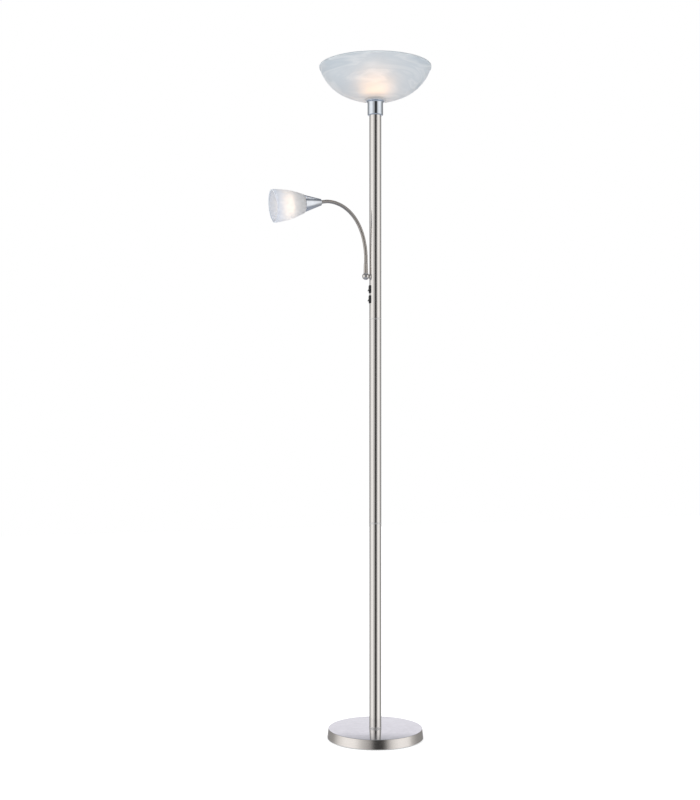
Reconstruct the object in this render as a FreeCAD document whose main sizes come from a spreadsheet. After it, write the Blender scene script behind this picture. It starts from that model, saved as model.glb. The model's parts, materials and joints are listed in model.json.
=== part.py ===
import FreeCAD, Part
import math
import os
import Sketcher

# Torchiere floor lamp with a reading light on a bendable arm. Millimetres, +Z up, the origin
# on the floor under the pole's axis. The reading arm and the two switches face -X.

vector = FreeCAD.Vector
doc = FreeCAD.newDocument("FloorLamp")

# Driving dimensions: millimetres, degrees and counts.
DIMENSIONS = {
    # round foot: sheet steel cover over a ribbed cast weight on a foam pad
    "base_top_diameter": 251,
    "base_flare": 2.5,
    "base_height": 26,
    "base_lift": 1.5,
    "base_edge_bevel": 0.8,
    "cover_wall": 1,
    "pad_inset": 6,
    "pad_thickness": 2,
    "weight_gap": 1,
    "weight_web": 12,
    "weight_rim_width": 24,
    "weight_rib_width": 7,
    "weight_rib_count": 6,
    "weight_hub_diameter": 60,
    "weight_hub_wall": 9,
    "weight_edge": 2,
    "base_washer_diameter": 34,
    "washer_thickness": 2,
    "cord_slot_width": 14,
    "cord_hole_diameter": 10,
    "cord_hole_height": 9,
    "cord_bore": 6.6,
    "grommet_flange_diameter": 13,
    "grommet_flange": 1.5,
    "grommet_groove": 2.8,
    # hollow threaded nipples and their nuts
    "nipple_diameter": 10,
    "nipple_bore": 7,
    "nipple_reach": 2,
    "thread_gap": 0.05,
    "nut_across_flats": 17,
    "nut_height": 5.5,
    # pole: three tubes with a polished ring at the foot and at each joint
    "tube_diameter": 32,
    "tube_wall": 1.2,
    "tube_length": 540.5,
    "ring_height": 4,
    "ring_proud": 0.15,
    "ring_chamfer": 0.6,
    "insert_web": 6,
    "insert_skirt": 8,
    "insert_wall": 2.5,
    # holder cup that carries the bowl
    "cup_diameter": 40,
    "cup_height": 40.5,
    "cup_wall": 1,
    "cup_floor": 1.5,
    "cup_foot_round": 3.5,
    "cup_lip_diameter": 55,
    "cup_lip_land": 1.2,
    "cup_flare_radius": 10,
    "cup_nut_height": 4,
    # glass bowl with its gasket and clamp ring
    "bowl_diameter": 300,
    "bowl_height": 89,
    "bowl_wall": 4,
    "bowl_hole_diameter": 41,
    "bowl_seat_diameter": 52,
    "bowl_floor_radius": 203.5,
    "bowl_side_radius": 117.7,
    "bowl_rim_bevel": 1.2,
    "gasket_thickness": 0.8,
    "gasket_bore": 42,
    "bowl_ring_diameter": 51,
    "bowl_ring_height": 4,
    # lampholder and bulb of the bowl
    "bowl_holder_diameter": 37.2,
    "bowl_holder_length": 46,
    "bowl_holder_bore": 28.6,
    "bowl_holder_floor": 9,
    "wire_hole": 7,
    "shell_wall": 0.4,
    "shell_floor": 1,
    "bowl_shell_bore": 27,
    "bowl_shell_height": 24,
    "bowl_cap_diameter": 26.4,
    "bowl_cap_height": 25,
    "cap_button_diameter": 9.6,
    "cap_button_height": 2.5,
    "bowl_globe_diameter": 60,
    "bowl_bulb_length": 105,
    "bowl_neck_diameter": 25,
    "bulb_wall": 1.5,
    "bulb_neck_length": 14,
    # two rocker switches in the pole
    "switch_drop": 34,
    "switch_pitch": 27,
    "bezel_width": 15,
    "bezel_height": 21,
    "bezel_proud": 1.6,
    "bezel_corner": 2,
    "housing_width": 13,
    "housing_height": 19,
    "housing_depth": 12,
    "window_gap": 0.2,
    "rocker_width": 10.2,
    "rocker_half_length": 7,
    "rocker_tilt": 13,
    "rocker_depth": 5.5,
    "rocker_back": 2.2,
    "rocker_gap": 0.35,
    "rocker_heel": 5.2,
    "socket_back": 4.4,
    "pivot_diameter": 2.4,
    "pivot_gap": 0.05,
    "stud_end_gap": 0.1,
    "terminal_width": 4.8,
    "terminal_thickness": 0.8,
    "terminal_length": 8,
    "terminal_spacing": 8,
    # swivel of the reading arm
    "arm_rise": 111,
    "arm_offset": 26.8,
    "ball_diameter": 19.4,
    "stub_collar_diameter": 12,
    "stub_collar_gap": 0.5,
    "stub_bore": 4,
    "pivot_pin_diameter": 8,
    "pivot_pin_reach": 4.5,
    "pin_groove_diameter": 6,
    "pin_groove_width": 5,
    "running_gap": 0.05,
    "pin_end_gap": 0.5,
    "stub_nut_height": 5,
    "stub_washer_diameter": 15,
    "grub_diameter": 4,
    "grub_gap": 0.3,
    "ferrule_diameter": 13,
    "ferrule_wall": 0.6,
    "ferrule_length": 26.5,
    "ferrule_spigot_diameter": 8.5,
    "ferrule_spigot_length": 2.5,
    "ferrule_grip": 8,
    "ferrule_chamfer": 0.6,
    # bendable hose of the reading arm: straight links in a row, each turned on the one before
    "hose_diameter": 10,
    "hose_bore": 4.6,
    "hose_fit_gap": 0.3,
    "hose_link_length": 31.05,
    "hose_link_gap": 1.6,
    "hose_rim_wall": 0.38,
    "hose_tip_wall": 0.4,
    "hose_socket_gap": 0.3,
    "hose_bend_angle_1": 6.8,
    "hose_bend_angle_2": 8.3,
    "hose_bend_angle_3": 10.8,
    "hose_bend_angle_4": 13.9,
    "hose_bend_angle_5": 17,
    "hose_bend_angle_6": 19.6,
    "hose_bend_angle_7": 21,
    # reading head: turned cone, lampholder, glass shade and bulb
    "cone_tip_diameter": 17.5,
    "cone_mouth_diameter": 47,
    "cone_length": 48,
    "cone_wall": 1,
    "cone_grip": 8,
    "cone_floor": 4,
    "reading_holder_diameter": 26.6,
    "reading_holder_length": 42,
    "reading_holder_bore": 17,
    "reading_holder_floor": 9,
    "reading_holder_reach": 6,
    "reading_shell_bore": 14.6,
    "reading_shell_height": 18,
    "reading_cap_diameter": 13.9,
    "reading_cap_height": 19,
    "reading_button_diameter": 8,
    "reading_globe_diameter": 45,
    "reading_bulb_length": 78,
    "reading_neck_diameter": 13,
    "reading_ring_diameter": 36,
    "reading_ring_height": 4,
    "shade_rear_diameter": 49.4,
    "shade_knee_diameter": 66.4,
    "shade_knee": 23,
    "shade_mouth_diameter": 86.6,
    "shade_length": 84,
    "shade_curve_radius": 220,
    "shade_wall": 3,
    "shade_rim_bevel": 0.9,
}


class Size:
    """A measure taken from the dimension sheet: the formula for it and the number it gives."""

    def __init__(self, formula, value):
        self.formula = formula
        self.value = value

    def __add__(self, other):
        other = as_size(other)
        return Size(f"({self.formula} + {other.formula})", self.value + other.value)

    def __sub__(self, other):
        other = as_size(other)
        return Size(f"({self.formula} - {other.formula})", self.value - other.value)

    def __mul__(self, other):
        other = as_size(other)
        return Size(f"({self.formula} * {other.formula})", self.value * other.value)

    def __truediv__(self, other):
        other = as_size(other)
        return Size(f"({self.formula} / {other.formula})", self.value / other.value)

    def __neg__(self):
        return Size(f"(0 - {self.formula})", -self.value)


def as_size(item):
    """A Size as it is, and a plain number as a Size."""
    if isinstance(item, Size):
        return item
    return Size(f"({item})", float(item))


def root(item):
    """Square root."""
    return Size(f"sqrt({item.formula})", math.sqrt(item.value))


def sine(angle):
    """Sine of an angle in degrees."""
    return Size(f"sin({angle.formula})", math.sin(math.radians(angle.value)))


def cosine(angle):
    """Cosine of an angle in degrees."""
    return Size(f"cos({angle.formula})", math.cos(math.radians(angle.value)))


def other_side(long_side, short_side):
    """Third side of a right triangle, from its longest side and one other."""
    return root(long_side * long_side - short_side * short_side)


class Sheet:
    """The dimension sheet, with each driving dimension as an attribute."""

    def __init__(self, dimensions):
        table = doc.addObject("Spreadsheet::Sheet", "Dimensions")
        for row, (alias, value) in enumerate(dimensions.items(), start=1):
            table.set(f"A{row}", alias)
            table.set(f"B{row}", str(value))
            table.setAlias(f"B{row}", alias)
        doc.recompute()
        for alias in dimensions:
            setattr(self, alias, Size(f"Dimensions.{alias}", float(table.get(alias))))


dim = Sheet(DIMENSIONS)
half_turn = 180
zero = as_size(0)
pieces = []


def keep(piece, name):
    """Marks a finished sub-part, which is written under this name."""
    piece.Label = name
    pieces.append(piece)
    return piece


def bind(item, field, size):
    """Ties a property to the dimension sheet."""
    item.setExpression(field, as_size(size).formula)


def place(item, x=0, y=0, z=0, lean=None):
    """Puts a piece at its place, leaning it from +Z towards -X by an angle."""
    if lean is not None:
        item.Placement = FreeCAD.Placement(
            vector(), FreeCAD.Rotation(vector(0, -1, 0), as_size(lean).value)
        )
        bind(item, "Placement.Rotation.Angle", lean)
    bind(item, "Placement.Base.x", x)
    bind(item, "Placement.Base.y", y)
    bind(item, "Placement.Base.z", z)
    return item


def new_body(name):
    body = doc.addObject("PartDesign::Body", name)
    return keep(body, name)


def new_sketch(body, plane, name, offset=None):
    """A sketch on one of a body's own origin planes, lifted off it by an offset."""
    planes = {item.Role: item for item in body.Origin.OriginFeatures}
    sketch = body.newObject("Sketcher::SketchObject", name)
    sketch.AttachmentSupport = [(planes[plane], "")]
    sketch.MapMode = "FlatFace"
    if offset is not None:
        bind(sketch, "AttachmentOffset.Base.z", offset)
    return sketch


def pin_vertex(sketch, edge, end, across, up):
    """Holds one end of a sketch edge at its place."""
    for kind, size in (("DistanceX", across), ("DistanceY", up)):
        rule = sketch.addConstraint(Sketcher.Constraint(kind, -1, 1, edge, end, size.value))
        sketch.setExpression(f"Constraints[{rule}]", size.formula)


def arc_between(start, end, radius):
    """An arc from start to end: counter-clockwise with a positive radius, else clockwise."""
    chord = end - start
    normal = vector(-chord.y, chord.x, 0).normalize()
    rise = math.sqrt(max(radius * radius - chord.Length * chord.Length / 4, 0))
    centre = (start + end) / 2 + normal * math.copysign(rise, radius)
    first, last = (start, end) if radius > 0 else (end, start)
    angles = [math.atan2(point.y - centre.y, point.x - centre.x) for point in (first, last)]
    if angles[1] < angles[0]:
        angles[1] += 2 * math.pi
    circle = Part.Circle(centre, vector(0, 0, 1), abs(radius))
    return Part.ArcOfCircle(circle, angles[0], angles[1])


def draw_curve(sketch, start, end, radius, runs=0):
    """Draws an arc, or short straight runs, all equally long with their ends on the arc.
    Gives the edge and vertex that it starts with and those that it ends with."""
    arc = sketch.addGeometry(arc_between(start, end, radius.value), runs > 0)
    rule = sketch.addConstraint(Sketcher.Constraint("Radius", arc, abs(radius.value)))
    forward = radius.value > 0
    sketch.setExpression(f"Constraints[{rule}]", (radius if forward else -radius).formula)
    tail, head = (1, 2) if forward else (2, 1)
    if not runs:
        return (arc, tail), (arc, head)
    shape = sketch.Geometry[arc]
    first, last = shape.FirstParameter, shape.LastParameter
    if not forward:
        first, last = last, first
    points = [shape.value(first + (last - first) * run / runs) for run in range(runs + 1)]
    lines = []
    for low, high in zip(points, points[1:]):
        lines.append(sketch.addGeometry(Part.LineSegment(low, high)))
    for before, after in zip(lines, lines[1:]):
        sketch.addConstraint(Sketcher.Constraint("Coincident", before, 2, after, 1))
        sketch.addConstraint(Sketcher.Constraint("PointOnObject", before, 2, arc))
        sketch.addConstraint(Sketcher.Constraint("Equal", before, after))
    sketch.addConstraint(Sketcher.Constraint("Coincident", arc, tail, lines[0], 1))
    sketch.addConstraint(Sketcher.Constraint("Coincident", arc, head, lines[-1], 2))
    return (lines[0], 1), (lines[-1], 2)


def draw_outline(sketch, outline):
    """Draws a closed outline. Each corner is (across, up), or (across, up, radius) where an
    arc leads to it, with a negative radius for a clockwise arc, and with a fourth number
    where the arc is drawn as that many straight runs."""
    corners = [[as_size(number) for number in corner[:3]] for corner in outline]
    points = [vector(corner[0].value, corner[1].value, 0) for corner in corners]
    ends = []
    for index, corner in enumerate(corners):
        start, end = points[index - 1], points[index]
        if len(corner) == 2:
            edge = sketch.addGeometry(Part.LineSegment(start, end))
            ends.append(((edge, 1), (edge, 2)))
        else:
            ends.append(draw_curve(sketch, start, end, corner[2], *outline[index][3:]))
    for index, corner in enumerate(corners):
        here, following = ends[index][1], ends[(index + 1) % len(ends)][0]
        sketch.addConstraint(Sketcher.Constraint("Coincident", *here, *following))
        pin_vertex(sketch, *here, corner[0], corner[1])


def draw_circle(sketch, radius, across=zero, up=zero):
    """Draws a circle at its place."""
    centre = vector(across.value, up.value, 0)
    edge = sketch.addGeometry(Part.Circle(centre, vector(0, 0, 1), radius.value))
    rule = sketch.addConstraint(Sketcher.Constraint("Radius", edge, radius.value))
    sketch.setExpression(f"Constraints[{rule}]", radius.formula)
    pin_vertex(sketch, edge, 3, across, up)


def rectangle(left, low, right, high):
    return [(left, low), (right, low), (right, high), (left, high)]


def turned(name, outline):
    """A turned piece: half its section, spun about its own Z axis."""
    body = new_body(name)
    sketch = new_sketch(body, "XZ_Plane", f"{name}_section")
    draw_outline(sketch, outline)
    turning = body.newObject("PartDesign::Revolution", f"{name}_turning")
    turning.Profile = sketch
    turning.ReferenceAxis = (sketch, ["V_Axis"])
    turning.Angle = 360
    return body


def add_pad(body, sketch, name, length, centred=False):
    pad = body.newObject("PartDesign::Pad", name)
    pad.Profile = sketch
    bind(pad, "Length", length)
    pad.Midplane = centred
    return pad


def add_pocket(body, sketch, name, length=None, backwards=False, centred=False):
    """A pocket that cuts away from its sketch plane, through everything without a length."""
    before = body.Tip
    pocket = body.newObject("PartDesign::Pocket", name)
    pocket.Profile = sketch
    pocket.Type = "ThroughAll" if length is None else "Length"
    if length is not None:
        bind(pocket, "Length", length)
    pocket.Reversed = backwards
    pocket.Midplane = centred
    doc.recompute()
    if pocket.Shape.Volume >= before.Shape.Volume:
        raise RuntimeError(f"{name} cuts nothing")
    return pocket


def round_edges(body, name, radius, wanted):
    """Rounds the edges of a body that the test picks."""
    doc.recompute()
    tip = body.Tip
    names = [f"Edge{n}" for n, edge in enumerate(tip.Shape.Edges, start=1) if wanted(edge)]
    if not names:
        raise RuntimeError(f"{name} finds no edge")
    fillet = body.newObject("PartDesign::Fillet", name)
    fillet.Base = (tip, names)
    bind(fillet, "Radius", radius)
    return fillet


def bevel_edges(body, name, size, wanted):
    """Bevels the edges of a body that the test picks."""
    doc.recompute()
    tip = body.Tip
    names = [f"Edge{n}" for n, edge in enumerate(tip.Shape.Edges, start=1) if wanted(edge)]
    if not names:
        raise RuntimeError(f"{name} finds no edge")
    bevel = body.newObject("PartDesign::Chamfer", name)
    bevel.Base = (tip, names)
    bind(bevel, "Size", size)
    return bevel


def is_ring(edge, radius, height):
    """Whether an edge is a circle about Z of this radius at this height."""
    curve = edge.Curve
    if not isinstance(curve, Part.Circle):
        return False
    near = 0.01
    return abs(curve.Radius - radius.value) < near and abs(curve.Center.z - height.value) < near


def hex_nut(name, across_flats, height, bore):
    """A hexagon nut that stands on its own origin."""
    body = new_body(name)
    sketch = new_sketch(body, "XY_Plane", f"{name}_hexagon")
    corner = across_flats / cosine(as_size(30)) / 2
    hexagon = []
    for side in range(6):
        angle = as_size(60 * side)
        hexagon.append((corner * cosine(angle), corner * sine(angle)))
    draw_outline(sketch, hexagon)
    draw_circle(sketch, bore / 2)
    add_pad(body, sketch, f"{name}_pad", height)
    return body


def ring_outline(bore, outer, low, high):
    """The half section of a plain ring."""
    return rectangle(bore / 2, low, outer / 2, high)


# ---- places along the pole, from the floor up ----
cover_top = dim.base_height
foot_ring_z = cover_top
lower_tube_z = foot_ring_z + dim.ring_height
lower_ring_z = lower_tube_z + dim.tube_length
middle_tube_z = lower_ring_z + dim.ring_height
upper_ring_z = middle_tube_z + dim.tube_length
upper_tube_z = upper_ring_z + dim.ring_height
pole_top_z = upper_tube_z + dim.tube_length
arm_z = upper_tube_z + dim.arm_rise
upper_switch_z = arm_z - dim.switch_drop
lower_switch_z = upper_switch_z - dim.switch_pitch

pole_radius = dim.tube_diameter / 2
pole_bore = dim.tube_diameter - dim.tube_wall * 2
nipple_hole = dim.nipple_diameter + dim.thread_gap * 2


# ---- round foot ----
weight_height = dim.base_height - dim.cover_wall - dim.pad_thickness
weight_recess = weight_height - dim.weight_web
top_radius = dim.base_top_diameter / 2
foot_radius = top_radius + dim.base_flare
weight_radius = top_radius - dim.cover_wall - dim.weight_gap
rim_bore_radius = weight_radius - dim.weight_rim_width


def make_base_pad():
    """Foam disc on which the lamp stands."""
    radius = foot_radius - dim.pad_inset
    pad = turned("base_pad", rectangle(zero, zero, radius, dim.pad_thickness))
    return place(pad)


def make_base_weight():
    """Cast disc with a rim, a hub and ribs below, and a slot through the rim for the cord."""
    edge = dim.weight_edge
    hub = dim.weight_hub_diameter / 2
    hub_bore = hub - dim.weight_hub_wall
    outline = [
        (nipple_hole / 2, weight_recess),
        (hub_bore, weight_recess),
        (hub_bore, weight_recess / 2),
        (hub, weight_recess / 2),
        (hub, weight_recess),
        (rim_bore_radius, weight_recess),
        (rim_bore_radius, zero),
        (weight_radius, zero),
        (weight_radius, weight_height - edge),
        (weight_radius - edge, weight_height),
        (nipple_hole / 2, weight_height),
    ]
    body = turned("base_weight", outline)
    rib = new_sketch(body, "XY_Plane", "weight_rib_outline")
    half_width = dim.weight_rib_width / 2
    overlap = dim.weight_rim_width / 2
    draw_outline(
        rib,
        rectangle(hub - half_width, -half_width, rim_bore_radius + overlap, half_width),
    )
    rib_pad = add_pad(body, rib, "weight_rib", weight_recess)
    doc.recompute()
    pattern = body.newObject("PartDesign::PolarPattern", "weight_ribs")
    pattern.Originals = [rib_pad]
    axes = {item.Role: item for item in body.Origin.OriginFeatures}
    pattern.Axis = (axes["Z_Axis"], [""])
    pattern.Angle = 360
    bind(pattern, "Occurrences", dim.weight_rib_count)
    body.Tip = pattern
    slot = new_sketch(body, "XZ_Plane", "weight_slot_outline")
    half_slot = dim.cord_slot_width / 2
    draw_outline(slot, rectangle(-half_slot, zero, half_slot, weight_recess))
    add_pocket(body, slot, "weight_slot")
    return place(body, z=dim.pad_thickness)


def make_base_cover():
    """Spun steel cover: a flat top and a slightly conical side, with a hole for the cord."""
    wall = dim.cover_wall
    outline = [
        (nipple_hole / 2, dim.base_height - wall),
        (top_radius - wall, dim.base_height - wall),
        (foot_radius - wall, dim.base_lift),
        (foot_radius, dim.base_lift),
        (top_radius, dim.base_height - dim.base_edge_bevel),
        (top_radius - dim.base_edge_bevel, dim.base_height),
        (nipple_hole / 2, dim.base_height),
    ]
    body = turned("base_cover", outline)
    hole = new_sketch(body, "XZ_Plane", "cord_hole_outline")
    draw_circle(hole, dim.cord_hole_diameter / 2, up=dim.cord_hole_height)
    add_pocket(body, hole, "cord_hole")
    return place(body)


def make_cord_grommet():
    """Rubber bush in the cover's cord hole, its axis level and pointing to the back."""
    side_rise = dim.base_height - dim.base_edge_bevel - dim.base_lift
    up_side = (dim.cord_hole_height - dim.base_lift) / side_rise
    wall_middle = foot_radius - dim.base_flare * up_side - dim.cover_wall / 2
    half_groove = dim.grommet_groove / 2
    flange = dim.grommet_flange_diameter / 2
    neck = dim.cord_hole_diameter / 2
    outline = [
        (dim.cord_bore / 2, -half_groove - dim.grommet_flange),
        (flange, -half_groove - dim.grommet_flange),
        (flange, -half_groove),
        (neck, -half_groove),
        (neck, half_groove),
        (flange, half_groove),
        (flange - dim.grommet_flange / 2, half_groove + dim.grommet_flange),
        (dim.cord_bore / 2, half_groove + dim.grommet_flange),
    ]
    body = turned("cord_grommet", outline)
    body.Placement = FreeCAD.Placement(vector(), FreeCAD.Rotation(vector(1, 0, 0), -90))
    return place(body, y=wall_middle, z=dim.cord_hole_height)


washer_top_z = dim.pad_thickness + weight_recess
base_nut_z = washer_top_z - dim.washer_thickness - dim.nut_height


def make_foot_fasteners():
    """Nipple, washer and nut that clamp the weight and the cover to the pole."""
    washer = turned(
        "base_washer",
        ring_outline(nipple_hole, dim.base_washer_diameter, zero, dim.washer_thickness),
    )
    place(washer, z=washer_top_z - dim.washer_thickness)
    nut = hex_nut("base_nut", dim.nut_across_flats, dim.nut_height, nipple_hole)
    place(nut, z=base_nut_z)
    low = base_nut_z - dim.nipple_reach / 2
    high = lower_tube_z + dim.insert_web + dim.nipple_reach
    nipple = turned(
        "foot_nipple", ring_outline(dim.nipple_bore, dim.nipple_diameter, zero, high - low)
    )
    place(nipple, z=low)


# ---- pole ----
def make_ring(name, height):
    """Polished ring between two tubes, with a small groove at each of its ends."""
    outer = pole_radius + dim.ring_proud
    chamfer = dim.ring_chamfer
    outline = [
        (nipple_hole / 2, zero),
        (outer - chamfer, zero),
        (outer, chamfer),
        (outer, dim.ring_height - chamfer),
        (outer - chamfer, dim.ring_height),
        (nipple_hole / 2, dim.ring_height),
    ]
    return place(turned(name, outline), z=height)


def make_tube(name, height):
    tube = turned(name, ring_outline(pole_bore, dim.tube_diameter, zero, dim.tube_length))
    return place(tube, z=height)


def cut_upper_tube(tube):
    """Windows for the two switches and the hole for the arm's stub, all on the -X side."""
    width = dim.housing_width / 2 + dim.window_gap
    height = dim.housing_height / 2 + dim.window_gap
    for name, switch_z in (("upper_window", upper_switch_z), ("lower_window", lower_switch_z)):
        middle = switch_z - upper_tube_z
        window = new_sketch(tube, "YZ_Plane", f"{name}_outline")
        draw_outline(window, rectangle(-width, middle - height, width, middle + height))
        add_pocket(tube, window, name)
    hole = new_sketch(tube, "YZ_Plane", "stub_hole_outline")
    draw_circle(hole, nipple_hole / 2, up=dim.arm_rise)
    add_pocket(tube, hole, "stub_hole")


def make_tube_inserts():
    """Steel plugs pressed into the ends of the tubes, each bored for a nipple."""
    outer = pole_bore / 2
    skirt_bore = outer - dim.insert_wall
    length = dim.insert_web + dim.insert_skirt
    outline = [
        (nipple_hole / 2, zero),
        (outer, zero),
        (outer, length),
        (skirt_bore, length),
        (skirt_bore, dim.insert_web),
        (nipple_hole / 2, dim.insert_web),
    ]
    inserts = []
    for number, tube_z in enumerate((lower_tube_z, middle_tube_z, upper_tube_z), start=1):
        foot = turned(f"foot_insert_{number}", outline)
        place(foot, z=tube_z)
        head = turned(f"head_insert_{number}", outline)
        place(head, z=tube_z + dim.tube_length, lean=half_turn)
        inserts.extend([foot, head])
    for insert in inserts:
        pieces.remove(insert)
    group = doc.addObject("Part::Compound", "tube_inserts")
    group.Links = inserts
    return keep(group, "tube_inserts")


def make_joint_nipple(name, ring_z):
    reach = dim.insert_web + dim.nipple_reach
    length = dim.ring_height + reach * 2
    nipple = turned(name, ring_outline(dim.nipple_bore, dim.nipple_diameter, zero, length))
    return place(nipple, z=ring_z - reach)


# ---- holder cup, bowl and bulb: heights from the pole's top ----
cup_radius = dim.cup_diameter / 2
holder_z = dim.cup_floor + dim.cup_nut_height
bowl_seat_z = dim.cup_height + dim.gasket_thickness


def make_holder_cup():
    """Chrome cup: a floor on the pole, a rounded foot, a straight wall and a flared lip."""
    wall = dim.cup_wall
    foot = dim.cup_foot_round
    lip = dim.cup_lip_diameter / 2
    flare = dim.cup_flare_radius
    flare_centre = cup_radius + flare
    land = lip - dim.cup_lip_land
    flare_z = dim.cup_height - other_side(flare + wall, flare_centre - land)
    lip_edge_z = flare_z + other_side(flare, flare_centre - lip)
    inner_foot = foot - wall
    outline = [
        (nipple_hole / 2, zero),
        (cup_radius - foot, zero),
        (cup_radius, foot, foot, 2),
        (cup_radius, flare_z),
        (lip, lip_edge_z, -flare, 3),
        (lip, dim.cup_height),
        (land, dim.cup_height),
        (cup_radius - wall, flare_z, flare + wall, 3),
        (cup_radius - wall, dim.cup_floor + inner_foot),
        (cup_radius - foot, dim.cup_floor, -inner_foot, 1),
        (nipple_hole / 2, dim.cup_floor),
    ]
    return place(turned("holder_cup", outline), z=pole_top_z)


def make_cup_fasteners():
    nut = hex_nut("cup_nut", dim.nut_across_flats, dim.cup_nut_height, nipple_hole)
    place(nut, z=pole_top_z + dim.cup_floor)
    low = dim.insert_web + dim.nipple_reach
    high = holder_z + dim.insert_web
    nipple = turned(
        "cup_nipple", ring_outline(dim.nipple_bore, dim.nipple_diameter, zero, low + high)
    )
    place(nipple, z=pole_top_z - low)


def lampholder(name, diameter, length, bore, floor):
    """Moulded lampholder: a floor bored for its nipple and for the wires, and a deep socket."""
    nipple_depth = dim.insert_web + dim.thread_gap
    outline = [
        (nipple_hole / 2, zero),
        (diameter / 2, zero),
        (diameter / 2, length),
        (bore / 2, length),
        (bore / 2, floor),
        (dim.wire_hole / 2, floor),
        (dim.wire_hole / 2, nipple_depth),
        (nipple_hole / 2, nipple_depth),
    ]
    return turned(name, outline)


def screw_shell(name, bore, height, hole):
    """Pressed brass shell that takes a bulb's cap, open below for the cap's button."""
    inner = bore / 2
    outer = inner + dim.shell_wall
    outline = [
        (hole / 2, zero),
        (outer, zero),
        (outer, height),
        (inner, height),
        (inner, dim.shell_floor),
        (hole / 2, dim.shell_floor),
    ]
    return turned(name, outline)


def bulb_cap(name, diameter, height, button):
    """Screw cap of a bulb, with its contact button below."""
    radius = diameter / 2
    step = dim.cap_button_height
    outline = [
        (zero, zero),
        (button / 2, zero),
        (button / 2, step),
        (radius, step),
        (radius, height),
        (zero, height),
    ]
    return turned(name, outline)


shoulder_angle = 45


def bulb_glass(name, globe, neck, length):
    """Bulb envelope: a globe drawn into a neck, with a thin wall."""
    wall = dim.bulb_wall
    radius = globe / 2
    middle = length - radius
    drop = radius * sine(as_size(shoulder_angle))
    shoulder = middle - drop
    shoulder_radius = other_side(radius, drop)
    inner_shoulder_radius = other_side(radius - wall, drop)
    straight = dim.bulb_neck_length
    outline = [
        (neck / 2, zero),
        (neck / 2, straight),
        (shoulder_radius, shoulder),
        (radius, middle, radius, 1),
        (zero, length, radius, 3),
        (zero, length - wall),
        (radius - wall, middle, wall - radius, 2),
        (inner_shoulder_radius, shoulder, wall - radius, 1),
        (neck / 2 - wall, straight),
        (neck / 2 - wall, zero),
    ]
    return turned(name, outline)


def make_bowl_light():
    holder = lampholder(
        "bowl_lampholder",
        dim.bowl_holder_diameter,
        dim.bowl_holder_length,
        dim.bowl_holder_bore,
        dim.bowl_holder_floor,
    )
    place(holder, z=pole_top_z + holder_z)
    button_z = pole_top_z + holder_z + dim.bowl_holder_floor
    shell = screw_shell(
        "bowl_holder_shell",
        dim.bowl_shell_bore,
        dim.bowl_shell_height,
        dim.cap_button_diameter + dim.bulb_wall,
    )
    place(shell, z=button_z)
    cap = bulb_cap(
        "bowl_bulb_cap", dim.bowl_cap_diameter, dim.bowl_cap_height, dim.cap_button_diameter
    )
    place(cap, z=button_z)
    glass = bulb_glass(
        "bowl_bulb",
        dim.bowl_globe_diameter,
        dim.bowl_neck_diameter,
        dim.bowl_bulb_length - dim.bowl_cap_height,
    )
    place(glass, z=button_z + dim.bowl_cap_height)


def make_glass_bowl():
    """Blown bowl with an even wall: a flat seat round its hole, a wide floor arc and a
    tighter side arc, tangent to each other."""
    seat = dim.bowl_seat_diameter / 2
    rim = dim.bowl_diameter / 2
    wall = dim.bowl_wall
    floor_radius = dim.bowl_floor_radius
    side_radius = dim.bowl_side_radius
    floor_centre_z = other_side(floor_radius, seat)
    rim_rise = dim.bowl_height - floor_centre_z
    reach = root(rim * rim + rim_rise * rim_rise)
    centres = floor_radius - side_radius
    along = (centres * centres - side_radius * side_radius + reach * reach) / (reach * 2)
    aside = other_side(centres, along)
    side_r = (along * rim + aside * rim_rise) / reach
    side_z = (along * rim_rise - aside * rim) / reach
    knee_r = side_r * floor_radius / centres
    knee_z = side_z * floor_radius / centres
    inner_knee_r = side_r * (floor_radius - wall) / centres
    inner_knee_z = side_z * (floor_radius - wall) / centres
    side_centre_z = floor_centre_z + side_z
    inner_rim = side_r + other_side(side_radius - wall, dim.bowl_height - side_centre_z)
    inner_seat = other_side(floor_radius - wall, floor_centre_z - wall)
    hole = dim.bowl_hole_diameter / 2
    outline = [
        (hole, zero),
        (seat, zero),
        (knee_r, floor_centre_z + knee_z, floor_radius, 5),
        (rim, dim.bowl_height, side_radius, 5),
        (inner_rim, dim.bowl_height),
        (inner_knee_r, floor_centre_z + inner_knee_z, wall - side_radius, 4),
        (inner_seat, wall, wall - floor_radius, 4),
        (hole, wall),
    ]
    body = turned("glass_bowl", outline)
    bevel_edges(
        body,
        "bowl_rim",
        dim.bowl_rim_bevel,
        lambda edge: is_ring(edge, rim, dim.bowl_height)
        or is_ring(edge, inner_rim, dim.bowl_height),
    )
    return place(body, z=pole_top_z + bowl_seat_z)


def make_bowl_clamp():
    gasket = turned(
        "bowl_gasket",
        ring_outline(dim.gasket_bore, dim.cup_lip_diameter, zero, dim.gasket_thickness),
    )
    place(gasket, z=pole_top_z + dim.cup_height)
    bore = dim.bowl_holder_diameter + dim.thread_gap * 2
    ring = turned(
        "bowl_ring", ring_outline(bore, dim.bowl_ring_diameter, zero, dim.bowl_ring_height)
    )
    place(ring, z=pole_top_z + bowl_seat_z + dim.bowl_wall)


# ---- rocker switches ----
bezel_face = pole_radius + dim.bezel_proud
pivot_x = bezel_face - dim.rocker_depth
rocker_rise = dim.rocker_half_length * sine(dim.rocker_tilt) / cosine(dim.rocker_tilt)
rocker_tip = dim.rocker_depth + rocker_rise
pressed_tip = dim.rocker_half_length * cosine(dim.rocker_tilt) + rocker_tip * sine(dim.rocker_tilt)
opening_half = pressed_tip + dim.rocker_gap
opening_width = dim.rocker_width + dim.rocker_gap * 2
housing_back = bezel_face - dim.housing_depth


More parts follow.
